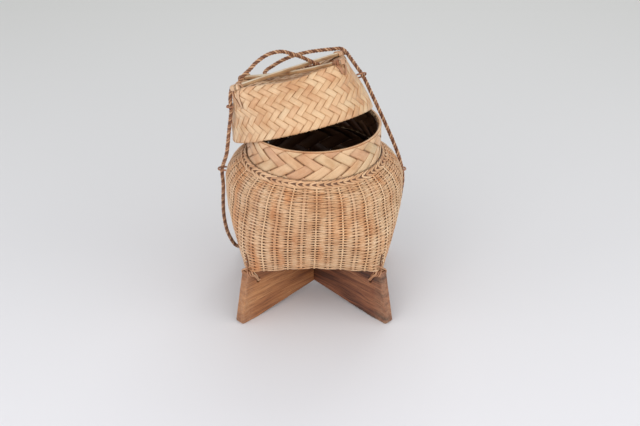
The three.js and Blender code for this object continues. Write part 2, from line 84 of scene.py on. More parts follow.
# Where the lid lies, tipped back to the left
LID_CENTRE = np.array(Vector((-13.2, 16.7, 208.7)))
TIP_AXIS_TURN = 38.27
LID_TIP = 22.65
LID_TWIST = 1.18
tip_axis = Vector((math.cos(math.radians(TIP_AXIS_TURN)), math.sin(math.radians(TIP_AXIS_TURN)), 0))
twist = Matrix.Rotation(math.radians(LID_TWIST), 3, "Z")
LID_TURN = np.array(Matrix.Rotation(math.radians(-LID_TIP), 3, tip_axis) @ twist)


def on_lid(points):
    """Points of the lid's own frame, in millimetres, brought to where the lid lies."""
    return np.asarray(points, float) @ LID_TURN.T + LID_CENTRE


# Materials
class Nodes:
    """A material's node tree, built a node at a time."""

    def __init__(self, name):
        self.material = bpy.data.materials.new(name)
        self.material.use_nodes = True
        self.tree = self.material.node_tree
        self.shader = self.tree.nodes["Principled BSDF"]

    def add(self, kind, inputs=None, **settings):
        node = self.tree.nodes.new("ShaderNode" + kind)
        for key, value in settings.items():
            setattr(node, key, value)
        for key, value in (inputs or {}).items():
            self.put(node.inputs[key], value)
        return node

    def put(self, socket, value):
        if hasattr(value, "links"):
            self.tree.links.new(value, socket)
        else:
            socket.default_value = value

    def maths(self, operation, a, b=0.5, clamp=False):
        return self.add("Math", {0: a, 1: b}, operation=operation, use_clamp=clamp).outputs[0]

    def ramp(self, value, *stops):
        node = self.add("ValToRGB", {"Fac": value})
        elements = node.color_ramp.elements
        while len(elements) < len(stops):
            elements.new(0.5)
        for element, (place, color) in zip(elements, stops):
            element.position = place
            element.color = (*color, 1)
        return node.outputs["Color"]

    def shades(self, value, places, colors):
        """A ramp between colours given as they look on screen."""
        return self.ramp(value, *[(at, srgb(*color)) for at, color in zip(places, colors)])

    def mix(self, fac, a, b, blend_type="MIX"):
        inputs = {"Factor": fac, "A": a, "B": b}
        return self.add("Mix", inputs, data_type="RGBA", blend_type=blend_type).outputs["Result"]

    def times(self, a, b):
        return self.mix(1.0, a, b, "MULTIPLY")

    def weighted(self, a, a_share, b, b_share):
        """The sum of two values, each by its share."""
        return self.maths("ADD", self.maths("MULTIPLY", a, a_share), self.maths("MULTIPLY", b, b_share))

    def noise(self, vector, scale=1.0, detail=3.0, roughness=0.55):
        inputs = {"Vector": vector, "Scale": scale, "Detail": detail, "Roughness": roughness}
        return self.add("TexNoise", inputs).outputs["Fac"]

    def scaled(self, vector, x, y, z):
        return self.add("Mapping", {"Vector": vector, "Scale": (x, y, z)}).outputs["Vector"]

    def place(self):
        """Where a point lies on its own object, in metres."""
        return self.add("TexCoord").outputs["Object"]

    def parts(self, vector):
        return self.add("SeparateXYZ", {0: vector}).outputs

    def attribute(self, name):
        return self.parts(self.add("Attribute", attribute_name=name).outputs["Vector"])

    def own_place(self, strip, spacing):
        """A place along and across a strip, moved by its tone so that no two strips look alike."""
        offset = self.maths("MULTIPLY", strip["Z"], spacing)
        return self.add("CombineXYZ", {"X": strip["X"], "Y": strip["Y"], "Z": offset}).outputs[0]

    def darkened(self, color, look, shade_color):
        """Painted shade: the colour, nearer to the shade colour the less brightly the strip shows."""
        return self.mix(self.maths("SUBTRACT", 1.0, look["Y"], clamp=True), color, (*srgb(*shade_color), 1))

    def finish(self, color, roughness, height=None, strength=0.3, distance=0.0004):
        self.put(self.shader.inputs["Base Color"], color)
        self.put(self.shader.inputs["Roughness"], roughness)
        if height is not None:
            bump = self.add("Bump", {"Height": height, "Strength": strength, "Distance": distance})
            self.put(self.shader.inputs["Normal"], bump.outputs["Normal"])
        return self.material


BLACK, WHITE = (0, 0, 0), (1, 1, 1)


def srgb(*color):
    """A colour given as it looks on screen, from 0 to 255, as linear light."""
    shares = [value / 255 for value in color]
    return tuple(v / 12.92 if v <= 0.04045 else ((v + 0.055) / 1.055) ** 2.4 for v in shares)


def strip_material(name, colors, own=0.7, streak=0.3, roughness=0.5, hole_shade=0.0, sides=None, bands=None,
                   shade_color=(64, 30, 14), edge=(206, 178, 150)):
    """Split bamboo. Each strip has a tone of its own, fibres along it, and painted shade along its edges
    and where it dives.
    """
    n = Nodes(name)
    strip, look, place = n.attribute("strip"), n.attribute("look"), n.place()
    strip_place = n.own_place(strip, 37.0)
    fibre = n.noise(n.scaled(strip_place, 60, 2600, 1), roughness=0.6)
    fine = n.noise(n.scaled(strip_place, 220, 5200, 1), detail=2, roughness=0.6)
    cloud = n.noise(n.scaled(strip_place, 90, 90, 1), detail=2)
    drift = n.weighted(strip["Z"], own, cloud, 1 - own)
    base = n.shades(drift, np.linspace(0.12, 0.88, len(colors)), colors)
    # sides is painted light: a tint from the left of the object through its middle to its right.
    if sides:
        share = n.maths("ADD", n.maths("MULTIPLY", n.parts(place)["X"], 5.0), 0.5, clamp=True)
        base = n.times(base, n.shades(share, (0, 0.45, 1), sides))
    if bands:
        band = n.ramp(n.noise(n.scaled(place, 1, 1, 0.25), 52), (0.48, BLACK), (0.66, WHITE))
        base = n.mix(band, base, n.times(base, (*srgb(*bands), 1)))
    base = n.times(base, n.ramp(fibre, (0.3, (1 - streak,) * 3), (0.62, WHITE)))
    base = n.times(base, n.ramp(n.noise(place, 45), (0.34, srgb(236, 220, 206)), (0.55, WHITE)))
    # Painted shade: small dark spots for the holes between the strips.
    if hole_shade:
        hole_distance = n.add("TexVoronoi", {"Vector": place, "Scale": 75.0}).outputs["Distance"]
        base = n.times(base, n.ramp(hole_distance, (0.0, (0.22, 0.12, 0.07)), (hole_shade, WHITE)))
    # Painted shade along each strip's edges, where it meets the next.
    base = n.times(base, n.ramp(n.maths("ABSOLUTE", look["X"]), (0.84, WHITE), (1.0, srgb(*edge))))
    rough = n.maths("ADD", n.maths("MULTIPLY", fibre, 0.25), roughness - 0.12)
    return n.finish(n.darkened(base, look, shade_color), rough, n.weighted(fibre, 0.7, fine, 0.3), 0.35, 0.00035)


def wood_material(name, turn, colors, waviness, pore):
    """Oiled hardwood, streaked along the plank and a little worn at its ends and under its toes."""
    n = Nodes(name)
    place = n.place()
    turned = n.add("Mapping", {"Vector": place, "Rotation": (0, 0, math.radians(-turn))}).outputs["Vector"]
    warp = n.noise(n.scaled(turned, 10, 9, 14), detail=2)
    shift = n.add("CombineXYZ", {"Z": n.maths("MULTIPLY", warp, waviness)}).outputs[0]
    bent = n.add("VectorMath", {0: turned, 1: shift}, operation="ADD").outputs["Vector"]
    grain = n.noise(n.scaled(bent, 7, 60, 190), detail=5, roughness=0.7)
    pores = n.noise(n.scaled(bent, 40, 900, 1300), roughness=0.7)
    broad = n.noise(n.scaled(bent, 8, 20, 42), detail=2)
    base = n.shades(n.weighted(grain, 0.5, broad, 0.5), (0.38, 0.5, 0.62), colors)
    base = n.times(base, n.ramp(pores, (0.36, srgb(*pore)), (0.5, WHITE)))
    part = n.parts(turned)
    half_worn = (0.5, 0.5, 0.5)
    end = n.ramp(n.maths("ABSOLUTE", part["X"]), (0.102, BLACK), (0.116, half_worn))
    low = n.ramp(part["Z"], (0.0, half_worn), (0.004, BLACK))
    rub = n.ramp(n.noise(place, 260, 4), (0.35, (0.15, 0.15, 0.15)), (0.65, (0.8, 0.8, 0.8)))
    wear = n.times(n.mix(1.0, end, low, "ADD"), rub)
    return n.finish(n.mix(wear, base, (*srgb(188, 150, 118), 1)), 0.5, grain)


def rope_material(name):
    """Plant fibre twisted in the hand: hairy, each ply of a brown of its own, with painted shade in the
    grooves.
    """
    n = Nodes(name)
    strip, look = n.attribute("strip"), n.attribute("look")
    hair = n.noise(n.scaled(n.own_place(strip, 19.0), 420, 3600, 1), detail=4, roughness=0.7)
    mixed = n.weighted(hair, 0.5, n.noise(n.place(), 60), 0.22)
    mixed = n.maths("ADD", mixed, n.maths("MULTIPLY", strip["Z"], 0.28))
    base = n.shades(mixed, (0.36, 0.5, 0.62), ((108, 64, 44), (172, 122, 88), (216, 172, 134)))
    return n.finish(n.darkened(base, look, (52, 28, 20)), 0.85, hair, 0.7, 0.0006)


def plain_material(name, colors):
    """Split bamboo in bent bars: mottled, with fine fibres."""
    n = Nodes(name)
    place = n.place()
    fibre = n.noise(n.scaled(place, 500, 500, 900), detail=4, roughness=0.65)
    mixed = n.weighted(fibre, 0.5, n.noise(place, 130), 0.5)
    return n.finish(n.shades(mixed, (0.36, 0.5, 0.64), colors), 0.6, fibre, 0.5)


def shaded_lining_material(name, colors):
    """The inside of the lid: slanting strips that cross, with dark seams, all coloured dark brown as
    painted shade.
    """
    n = Nodes(name)
    place = n.place()
    parts = n.parts(place)
    round_way = n.maths("MULTIPLY", n.maths("ARCTAN2", parts["Y"], parts["X"]), 7.2)
    up_way = n.maths("MULTIPLY", parts["Z"], 95.0)
    seam = (0.25, 0.2, 0.16)
    edges = []
    for sign in (1, -1):
        strip = n.maths("FRACT", n.maths("ADD", round_way, n.maths("MULTIPLY", up_way, sign)))
        edges.append(n.ramp(strip, (0.0, seam), (0.1, WHITE), (0.9, WHITE), (1.0, seam)))
    over = n.maths("GREATER_THAN", n.maths("FRACT", n.maths("MULTIPLY", up_way, 0.5)), 0.5)
    fibre = n.noise(n.scaled(place, 500, 500, 900), detail=4, roughness=0.65)
    base = n.shades(fibre, (0.35, 0.65), colors)
    return n.finish(n.times(base, n.mix(over, *edges)), 0.6, fibre, 0.4)


# Meshes
class Strips:
    """Collects closed strips and bars into one mesh.

    Its "strip" attribute holds the place along and across the strip and the strip's tone, and "look"
    holds how near the strip's edge a point is and its painted shade, how brightly it shows.
    """

    def __init__(self):
        self.points, self.faces, self.strip, self.look, self.count = [], [], [], [], 0

    def add(self, rings, along, across, tone, loop=False, shade=1.0):
        """rings is (steps, sides, 3) in millimetres; along has one value a step, and across one a side."""
        steps, sides = rings.shape[:2]
        ids = self.count + np.arange(steps * sides).reshape(steps, sides)
        last = steps if loop else steps - 1
        upper = np.roll(ids, -1, axis=0)[:last]
        lower = ids[:last]
        corners = [lower, np.roll(lower, -1, axis=1), np.roll(upper, -1, axis=1), upper]
        self.faces.extend(np.stack(corners, -1).reshape(-1, 4).tolist())
        if not loop:
            self.faces.extend([ids[0][::-1].tolist(), ids[-1].tolist()])
        self.points.append(rings.reshape(-1, 3))
        across = np.asarray(across, float)
        strip = np.empty((steps, sides, 3))
        strip[..., 0] = np.asarray(along)[:, None] * MM
        strip[..., 1] = across * MM
        strip[..., 2] = tone
        look = np.zeros((steps, sides, 3))
        look[..., 0] = across / np.abs(across).max()
        look[..., 1] = shade
        self.strip.append(strip.reshape(-1, 3))
        self.look.append(look.reshape(-1, 3))
        self.count += steps * sides

    def piece(self, name, material, body, slot, replaces=()):
        mesh = bpy.data.meshes.new(name)
        mesh.from_pydata(np.concatenate(self.points) * MM, [], self.faces)
        for key, values in (("strip", self.strip), ("look", self.look)):
            attribute = mesh.attributes.new(key, "FLOAT_VECTOR", "POINT")
            attribute.data.foreach_set("vector", np.concatenate(values).astype(np.float32).ravel())
        mesh.shade_smooth()
        mesh.materials.append(material)
        piece = linked(name, mesh)
        if body:
            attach(piece, body)
        if replaces:
            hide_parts(*replaces)
        return piece


def unit(v):
    return v / np.maximum(np.linalg.norm(v, axis=-1, keepdims=True), 1e-9)


def tangents(points, loop=False):
    if loop:
        return unit(np.roll(points, -1, axis=0) - np.roll(points, 1, axis=0))
    return unit(np.gradient(points, axis=0))


def summed(steps):
    """How far each step comes to, from nought."""
    return np.concatenate([[0], np.cumsum(steps)])


def lengths(points):
    return summed(np.linalg.norm(np.diff(points, axis=0), axis=1))


def polar(radius, angle, z):
    return np.stack(np.broadcast_arrays(radius * np.cos(angle), radius * np.sin(angle), z), -1)


# Sections of strips: each point is a share of the width and of the thickness.
FLAT = [(-0.5, -0.42), (0.5, -0.42), (0.5, 0.2), (0.3, 0.5), (-0.3, 0.5), (-0.5, 0.2)]
SPLIT = [(-0.46, -0.35), (0.46, -0.35), (0.5, 0.0), (0.28, 0.5), (-0.28, 0.5), (-0.5, 0.0)]
ROUNDED = [(-0.5, -0.35), (-0.44, -0.5), (0.44, -0.5), (0.5, -0.35),
           (0.5, 0.25), (0.34, 0.5), (-0.34, 0.5), (-0.5, 0.25)]


def ring_places(points, normals, width, thickness, section, loop=False):
    """Rings of a strip: its width runs across the path, and its section stands up along the normals."""
    t = tangents(points, loop)
    side = unit(np.cross(t, normals))
    up = unit(np.cross(side, t))
    shape = np.array(section)
    width, thickness = [np.broadcast_to(v, len(points))[:, None, None] for v in (width, thickness)]
    return (points[:, None] + side[:, None] * (shape[:, :1] * width)
            + up[:, None] * (shape[:, 1:] * thickness))


def lay_strip(strips, points, normals, width, thickness, section=FLAT, loop=False, shade=1.0, tone=None):
    rings = ring_places(points, normals, width, thickness, section, loop)
    across = [x * np.mean(width) for x, _ in section]
    tone = rng.uniform() if tone is None else tone
    strips.add(rings, lengths(points) + rng.uniform(0, 900), across, tone, loop, shade)


def between(a, b, start, end, t):
    """The place at t on the way from a at the start to b at the end."""
    return a * (end - t) / (end - start) + b * (t - start) / (end - start)


def catmull(points, per_span):
    """A centripetal curve through the points, with this many steps between each two."""
    p = np.asarray(points, float)
    p = np.concatenate([[2 * p[0] - p[1]], p, [2 * p[-1] - p[-2]]])
    out = []
    for k in range(1, len(p) - 2):
        a, b, c, d = p[k - 1:k + 3]
        t0, t1, t2, t3 = summed([max(np.linalg.norm(gap), 1e-6) ** 0.5 for gap in (b - a, c - b, d - c)])
        for t in np.linspace(t1, t2, per_span, endpoint=False):
            ab, bc, cd = between(a, b, t0, t1, t), between(b, c, t1, t2, t), between(c, d, t2, t3, t)
            out.append(between(between(ab, bc, t0, t2, t), between(bc, cd, t1, t3, t), t1, t2, t))
    out.append(p[-2])
    return np.array(out)


def even(points, step):
    """The same line with points at even steps."""
    s = lengths(points)
    count = max(3, int(round(s[-1] / step)) + 1)
    return np.stack([np.interp(np.linspace(0, s[-1], count), s, points[:, k]) for k in range(3)], -1)


def frames_along(points):
    """A normal at each point that turns as little as it can along the line."""
    t = tangents(points)
    normal = unit(np.cross(t[0], [0.31, 0.22, 0.93]))
    out = [normal]
    for k in range(1, len(points)):
        normal = unit(normal - t[k] * (normal @ t[k]))
        out.append(normal)
    return np.array(out)


# Shapes that the weaves follow
def square_point(half, radius, share):
    """Points of a rounded square, by their share of the way round from the middle of its +X side."""
    half, radius, share = np.broadcast_arrays(*[np.asarray(v, float) for v in (half, radius, share)])
    flat = half - radius
    arc = np.pi / 2 * radius
    turns = np.floor(share * 4)
    along = (share * 4 - turns) * (2 * flat + arc)
    angle = np.clip((along - flat) / np.maximum(radius, 1e-6), 0, np.pi / 2)
    x = np.where(along <= flat, half, flat + radius * np.cos(angle))
    y = np.where(along <= flat, along, flat + radius * np.sin(angle))
    x = np.where(along > flat + arc, flat - (along - flat - arc), x)
    y = np.where(along > flat + arc, half, y)
    c, s = np.cos(turns * np.pi / 2), np.sin(turns * np.pi / 2)
    return x * c - y * s, x * s + y * c


def smooth_between(at, knots, values):
    """A smooth curve through the knots that doesn't overshoot them."""
    x, y = np.asarray(knots, float), np.asarray(values, float)
    slope = np.diff(y) / np.diff(x)
    m = np.empty_like(y)
    m[0], m[-1] = slope[0], slope[-1]
    for k in range(1, len(y) - 1):
        m[k] = 0 if slope[k - 1] * slope[k] <= 0 else 2 / (1 / slope[k - 1] + 1 / slope[k])
    at = np.clip(at, x[0], x[-1])
    k = np.clip(np.searchsorted(x, at, side="right") - 1, 0, len(x) - 2)
    h = x[k + 1] - x[k]
    t = (at - x[k]) / h
    return ((2 * t**3 - 3 * t**2 + 1) * y[k] + (t**3 - 2 * t**2 + t) * h * m[k]
            + (3 * t**2 - 2 * t**3) * y[k + 1] + (t**3 - t**2) * h * m[k + 1])


class Wall:
    """A wall lofted over rounded squares. A place on it is a share of the way round and a height."""

    up_step = 0.6

    def __init__(self, stations, lift):
        self.z, self.half, self.corner = np.array(stations, float).T
        self.lift = lift

    def size(self, up):
        """The half width, and what share of it the corners' radius takes."""
        return smooth_between(up, self.z, self.half), smooth_between(up, self.z, self.corner)

    def height(self, up):
        return up

    def bare(self, share, up):
        half, corner = self.size(up)
        x, y = square_point(half, half * corner, share)
        z = self.height(up)
        return np.stack(np.broadcast_arrays(x, y, z + self.lift(share, z)), -1)

    def normal(self, share, up):
        share, up = np.broadcast_arrays(np.asarray(share, float), np.asarray(up, float))
        e, h = 2e-3, self.up_step
        round_way = self.bare(share + e, up) - self.bare(share - e, up)
        up_way = self.bare(share, up + h) - self.bare(share, up - h)
        return unit(np.cross(round_way, up_way))

    def at(self, share, up, out=0.0):
        """Points this far outside the wall."""
        return self.bare(share, up) + self.normal(share, up) * np.asarray(out)[..., None]

    def profile(self, low, high, count=400):
        """Heights and the length of wall from the low one to each, along the middle of a side."""
        z = np.linspace(low, high, count)
        return z, summed(np.hypot(np.diff(z), np.diff(self.size(z)[0])))


def sideness(share):
    return np.cos(np.asarray(share) * 4 * np.pi) ** 2


OUTER_STATIONS = [
    (64.8, 79.4, 0.15), (75, 83.7, 0.34), (90, 87.7, 0.41), (110, 94.6, 0.62),
    (130, 100.9, 0.86), (150, 102.8, 1), (165, 97.2, 1), (176, 85.2, 1),
]
BOTTOM_Z, BOTTOM_HALF = OUTER_STATIONS[0][:2]
BOTTOM_ARCH = 4.2
ARCH_FROM = 70.7
ARCH_FADE = 26
STAKE_SPREAD = 0.004
SPREAD_TOP = 150
STAKE_LEAN = 0.0055


def arch_lift(share, z):
    fade = np.clip(1 - (np.asarray(z) - ARCH_FROM) / ARCH_FADE, 0, 1)
    return BOTTOM_ARCH * sideness(share) * fade**2


outer = Wall(OUTER_STATIONS, arch_lift)


def spread(share, z):
    """Stakes stand further apart at the middle of each side at the bottom, and lean as they rise."""
    low = np.clip((SPREAD_TOP - z) / (SPREAD_TOP - BOTTOM_Z), 0, 1)
    return share + STAKE_SPREAD * np.sin(8 * np.pi * share) * low + STAKE_LEAN * (z - BOTTOM_Z) / 110


LID_STATIONS = [
    (0, 83.1, 1), (15.2, 80.4, 1), (30.4, 75.6, 0.84), (45.6, 68.2, 0.42), (55, 65.2, 0.2),
    (60.8, 61.8, 0.12),
]
LID_HORN_DROP = 5.3
LID_HORN_FROM = 36
LID_TOP_Z, LID_TOP_HALF = LID_STATIONS[-1][:2]
LID_TOP_DIP = 8.4


def horn_lift(share, z):
    weight = np.clip((np.asarray(z) - LID_HORN_FROM) / (LID_TOP_Z - LID_HORN_FROM), 0, 1)
    return -LID_HORN_DROP * sideness(share) * weight**2


lid_wall = Wall(LID_STATIONS, horn_lift)


# Finishes
# Painted light: a tint across the basket from its left side through its middle to its right.
PAINTED_SIDE_LIGHT = ((255, 252, 253), (249, 238, 228), (255, 254, 250))
weft_finish = strip_material(
    "weft", [(200, 158, 120), (216, 177, 137), (228, 194, 156), (236, 206, 172), (222, 185, 146)],
    own=0.3, streak=0.22, sides=PAINTED_SIDE_LIGHT, bands=(250, 224, 200),
    shade_color=(112, 54, 18), edge=(228, 204, 180))
rib_finish = strip_material(
    "rib", [(224, 188, 148), (236, 204, 166), (242, 212, 178)], streak=0.2, sides=PAINTED_SIDE_LIGHT)
stake_finish = strip_material("stake", [(190, 144, 108), (210, 166, 128), (222, 182, 144)])
border_finish = strip_material(
    "border", [(206, 160, 122), (226, 186, 146), (240, 206, 168)], sides=PAINTED_SIDE_LIGHT, edge=(198, 164, 134))
collar_finish = strip_material(
    "collar", [(212, 168, 134), (226, 188, 150), (232, 200, 162), (222, 196, 158), (206, 186, 152)],
    own=0.65, streak=0.18, roughness=0.46, sides=PAINTED_SIDE_LIGHT)
lid_finish = strip_material(
    "lid_weave", [(214, 164, 124), (226, 188, 148), (230, 196, 156), (236, 206, 168), (222, 196, 160)],
    own=0.55, streak=0.18, roughness=0.45, hole_shade=0.04, sides=PAINTED_SIDE_LIGHT, edge=(230, 208, 184))
slat_finish = strip_material("slat", [(212, 192, 162), (232, 215, 186), (222, 202, 170)])
binding_finish = strip_material(
    "binding", [(160, 104, 70), (204, 156, 118), (230, 196, 160)], edge=(158, 118, 88))
dark_finish = strip_material("dark_splint", [(112, 70, 44), (138, 92, 62), (156, 108, 76)])
# Painted shade: the inside of the inner basket coloured dark brown.
inside_shade_finish = strip_material("inside", [(88, 60, 42), (108, 76, 54), (122, 90, 64)])
rope_finish = rope_material("rope")
loop_finish = plain_material("loop", [(110, 70, 46), (156, 106, 76), (190, 142, 108)])
# Painted shade: the inside of the lid coloured dark brown.
lid_inside_shade_finish = shaded_lining_material("lid_lining", [(86, 58, 40), (130, 94, 66)])
plank_left_finish = wood_material(
    "plank_left", 45, [(112, 64, 36), (162, 104, 62), (192, 136, 88)], waviness=0.016, pore=(176, 164, 154))
plank_right_finish = wood_material(
    "plank_right", 135, [(46, 24, 17), (126, 74, 48), (172, 116, 80)], waviness=0.024, pore=(140, 128, 118))


# The carrying cord
CORD = 4.7
CORD_LAY = 11.2
PLY_REACH = 0.53
PLY_THICKNESS = 0.96
GROOVE_REACH = 0.76
CREST_REACH = 0.94
ROPE_STEP = 0.9
KNOT_REACH = 5.4
KNOT_SIZE = 0.98
KNOT_PLY = 1.55
KNOT_LAY = 8
PLANK_HALF = 5.5
LEFT_HOLE = np.array([-62.2, 62.2, 38.0])
RIGHT_HOLE = np.array([62.2, 62.2, 38.0])
SHOULDER_LOOPS = {"left": (-107.6, 3, 156), "right": (104.1, 28, 143)}
LID_LOOPS = {"left": (-93.3, -18, 245.6), "right": (56.8, 69.5, 246)}


def in_hole(hole, across):
    """A place on the axis of a plank's hole, this far from the plank's middle."""
    return hole + across * math.sqrt(0.5) * np.array([math.copysign(1, hole[0]), -1, 0])


# The places on the lid are given in the lid's own frame
CORD_ROUTE = {
    "left_tail": [
        in_hole(LEFT_HOLE, -5.2), in_hole(LEFT_HOLE, 3), in_hole(LEFT_HOLE, 13), (-88, 50, 24),
        (-96.4, 42, 28), (-104.9, 30, 50.7), (-108, 26, 66), (-109.5, 20, 87), (-109, 14, 108),
        (-107.6, 8, 131.6), SHOULDER_LOOPS["left"]],
    "left_lower": [(-101.9, -2, 176), (-99.6, -5, 190), (-97.3, -5, 209.6)],
    "left_upper": [
        (-96, -10, 218.3), (-94.6, -13, 228.5), (-93.5, -16, 237.4), LID_LOOPS["left"], (-93.8, -15, 251.1),
        *on_lid([(-69, -40.6, 54), (-66.6, -38.6, 59.6), (-60.3, -38, 63.1)])],
    "front_arch": on_lid([
        (-56, -36.6, 65.6), (-50.1, -35.3, 71.4), (-42.6, -31.5, 75.6), (-32.8, -28, 81.9),
        (-18, -22.2, 87.1), (-3.8, -15.6, 86.4), (6.7, -8, 80.8), (17.1, 1.4, 73.2), (26, 10.5, 65.4),
        (32, 18, 60.4), (33.4, 24, 58.3)]),
    "under_slat": on_lid([
        (32, 31, 58), (26, 36, 57.8), (15, 38.5, 57.8), (-9, 38, 57.9), (-22.6, 37.4, 58.4),
        (-29.9, 40.2, 60.1), (-32.8, 47, 62.4), (-29.9, 53.8, 64.9), (-22.6, 56.6, 67.6)]),
    "back_arch": on_lid([
        (-11.4, 55, 71.2), (0.5, 52, 73.6), (10.4, 51.2, 74.3), (24.7, 53.6, 73.9), (38.6, 57.1, 72.2),
        (52.3, 60.8, 70), (62.7, 65, 67.4), (67.4, 64.5, 61.5), (69.4, 60, 57)]),
    "right_upper": [(44.8, 90, 256.3), (50, 80, 252.2), LID_LOOPS["right"], (67.8, 55, 227.4)],
    "right_lower": [(78, 45, 208), (91.9, 36, 178.6), (100.3, 30, 158), SHOULDER_LOOPS["right"]],
    "right_tail": [
        (105.8, 33, 126.7), (105, 42, 106), (103.5, 50, 86), (99, 53.5, 68), (93.5, 50.5, 55),
        (84, 47.5, 43.5),
        in_hole(RIGHT_HOLE, 14), in_hole(RIGHT_HOLE, 3), in_hole(RIGHT_HOLE, -5.2)],
}
CORD_BODIES = {
    "left_tail": "basket", "right_tail": "basket",
    "front_arch": "lid", "under_slat": "lid", "back_arch": "lid",
}

# The bodies that a free stretch joins, with the end of it that stays on each
CORD_BLENDS = {
    "left_lower": ("basket", "lid_sling", 0, -1), "left_upper": ("lid_sling", "lid", 0, -1),
    "right_upper": ("lid_sling", "lid", -1, 0), "right_lower": ("basket", "lid_sling", -1, 0),
}


def twisted(strips, points, turn, radius, plies=3, sides=8):
    """Plies wound round one another along the points; turn is the angle of the first one at each point."""
    t = tangents(points)
    normal = frames_along(points)
    side = np.cross(t, normal)
    round_ply = 2 * np.pi * np.arange(sides) / sides
    section = np.stack([np.cos(round_ply), np.sin(round_ply)], -1) / 2
    for ply in range(plies):
        angle = turn + 2 * np.pi * ply / plies
        out = np.cos(angle)[:, None] * normal + np.sin(angle)[:, None] * side
        rings = ring_places(points + radius * PLY_REACH * out, out, radius, radius * PLY_THICKNESS, section)
        # Painted shade: darker where a ply turns in towards the grooves between the plies.
        reach = np.linalg.norm(rings - points[:, None], axis=-1) / radius
        shade = np.clip((reach - GROOVE_REACH) / (CREST_REACH - GROOVE_REACH), 0, 1)
        strips.add(rings, lengths(points), round_ply * radius / 2, (ply + 0.4) / plies, shade=shade)


def knot(side, hole):
    """The overhand knot that keeps the cord's end from slipping back through the plank."""
    strips = Strips()
    centre = in_hole(hole, -(PLANK_HALF + 0.3 + KNOT_REACH))
    t = np.linspace(0, 2 * np.pi, 90)
    points = centre + KNOT_SIZE * polar(2.3 + np.cos(3 * t), 2 * t, 1.4 * np.sin(3 * t))
    twisted(strips, points, lengths(points) * 2 * np.pi / KNOT_LAY, KNOT_PLY)
    return strips.piece(f"knot_{side}", rope_finish, "basket", "cord", replaces=[f"cord_knot_{side}"])


def carrying_cord():
    steps = 12
    whole = catmull([place for stops in CORD_ROUTE.values() for place in stops], steps)
    knots = {"left_tail": knot("left", LEFT_HOLE), "right_tail": knot("right", RIGHT_HOLE)}
    at = 0
    for name, stops in CORD_ROUTE.items():
        end = at + len(stops) - (1 if at == 0 else 0)
        part = even(whole[at * steps:end * steps + 1], ROPE_STEP)
        strips = Strips()
        travelled = lengths(whole)[at * steps]
        twisted(strips, part, (lengths(part) + travelled) * 2 * np.pi / CORD_LAY, CORD / 2)
        body = CORD_BODIES.get(name)
        piece = strips.piece(f"rope_{name}", rope_finish, body, "cord", replaces=[f"cord_{name}"])
        if name in CORD_BLENDS:
            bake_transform(piece)
        length = float(lengths(part)[-1] * MM)
        at = end


carrying_cord()


# The outer basket: thin wefts that go over one stake and dive under the next
STAKES = 44
STAKE_STEP = 13.6
STAKE_THICKNESS = 0.95
STAKE_BULGE = 0.3
NARROW_STAKE = 2.1
BROAD_STAKE = 3.4
WEFT_FROM = 65.4
WEFT_TO = 176.8
WEFT_THICKNESS = 0.95
WEFT_HUMP = 0.3
HUMP_REACH = 5.2
WEFT_DIVE = 1.7
DIVE_REACH = 6.4
WEFT_WAVER = 0.12
WEFT_STRAY = 0.1
WEFT_STEPS = (0, 1.7, 3.3, 4.9, 6.8, 8.7, 10.3, 11.9)
LOWER_WEFTS = 0.48

# By height: how far apart the rows of wefts are, how bright a row is painted (painted light, darker low
# down), and how much painted shade darkens it where it dives
WEFT_PITCHES = [(64, 2.12), (112, 2.1), (124, 1.92), (136, 1.58), (178, 1.52)]
WEFT_PAINTED_LIGHT = [(64, 0.88), (110, 0.98), (150, 1)]
WEFT_DIVE_SHADE = [(64, 0.62), (110, 0.66), (145, 0.5), (178, 0.42)]


def stake_share(v, z):
    """The share of the way round of a place counted in stakes."""
    return spread(np.asarray(v) / STAKES, z)


def by_height(z, table):
    return np.interp(z, *zip(*table))


def weft_wave(v, row):
    """How deep a weft dives at each place among the stakes, and how far out it lies there."""
    nearest = np.round(v)
    away = np.abs(v - nearest) * STAKE_STEP
    over = (nearest + row) % 2 == 0
    hump = 0.5 + 0.5 * np.cos(np.pi * np.minimum(away / HUMP_REACH, 1))
    dive = np.where(over, 0, 0.5 + 0.5 * np.cos(np.pi * np.minimum(away / DIVE_REACH, 1)))
    return dive, np.where(over, WEFT_HUMP * hump, 0) - WEFT_DIVE * dive


def weft_rows():
    """The height of each row of wefts and how far it is from the next; the rows are finer higher up."""
    z, run = outer.profile(WEFT_FROM, WEFT_TO)
    pitch = by_height(z, WEFT_PITCHES)
    passed = summed(np.diff(run) / pitch[1:])
    rows = 2 * int(passed[-1] / 2)
    middle = (np.arange(rows) + 0.5) * passed[-1] / rows
    return np.interp(middle, passed, z), np.interp(middle, passed, pitch)


def wefts():
    heights, pitches = weft_rows()
    v = (np.arange(STAKES)[:, None] + np.array(WEFT_STEPS) / STAKE_STEP).ravel()
    middle = int(len(heights) * LOWER_WEFTS)
    for half, rows in (("lower", range(middle)), ("upper", range(middle, len(heights)))):
        strips = Strips()
        for row in rows:
            share = stake_share(v, heights[row])
            dive, out = weft_wave(v, row)
            waver = WEFT_WAVER * np.sin(v * 0.7 + row * 1.9)
            points = outer.at(share, heights[row] + waver + rng.uniform(-WEFT_STRAY, WEFT_STRAY), out)
            normals = outer.normal(share, heights[row])
            # Painted shade where the weft dives behind a stake, and painted light that leaves the lower
            # rows darker.
            dive_shade = by_height(heights[row], WEFT_DIVE_SHADE) * np.clip(dive * 1.3 - 0.05, 0, 1)
            shade = (by_height(heights[row], WEFT_PAINTED_LIGHT) - dive_shade)[:, None]
            width = pitches[row] * rng.uniform(0.94, 1.06)
            lay_strip(strips, points, normals, width, WEFT_THICKNESS, SPLIT, loop=True, shade=shade)
        replaced = ["outer_basket"] if half == "lower" else []
        strips.piece(f"wefts_{half}", weft_finish, "basket", "bamboo_weave", replaces=replaced)


